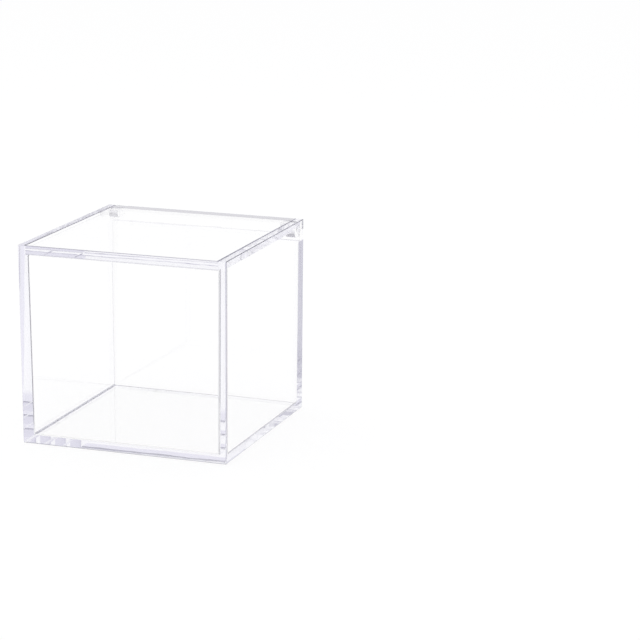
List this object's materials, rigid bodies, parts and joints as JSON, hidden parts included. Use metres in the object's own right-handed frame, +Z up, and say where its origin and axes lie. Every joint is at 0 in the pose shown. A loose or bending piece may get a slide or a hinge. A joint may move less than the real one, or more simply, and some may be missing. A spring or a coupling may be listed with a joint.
{
  "type": "storage box with hinged lid",
  "caption": "Clear square storage box with a flush lid that lies between the side walls and swings up on moulded pins at the rear.",
  "frame": {"origin": "centre of the underside, on the surface that the box stands on", "axes": "+Z up; the front, where the lid lifts, is -Y; the hinge is along X at the rear, +Y; +X is right seen from the front"},
  "size_m": [0.1, 0.1, 0.092],
  "materials": {
    "clear_acrylic": "clear, polished, colourless with a faint cool tint in the edges"
  },
  "bodies": {
    "box": {"box_body": "clear_acrylic"},
    "lid": {"lid": "clear_acrylic"}
  },
  "joints": [
    {"name": "lid_hinge", "type": "hinge", "parent": "box", "child": "lid", "pos_m": [0, 0.045, 0.088], "axis": [-1, 0, 0], "range_deg": [0, 115]}
  ]
}
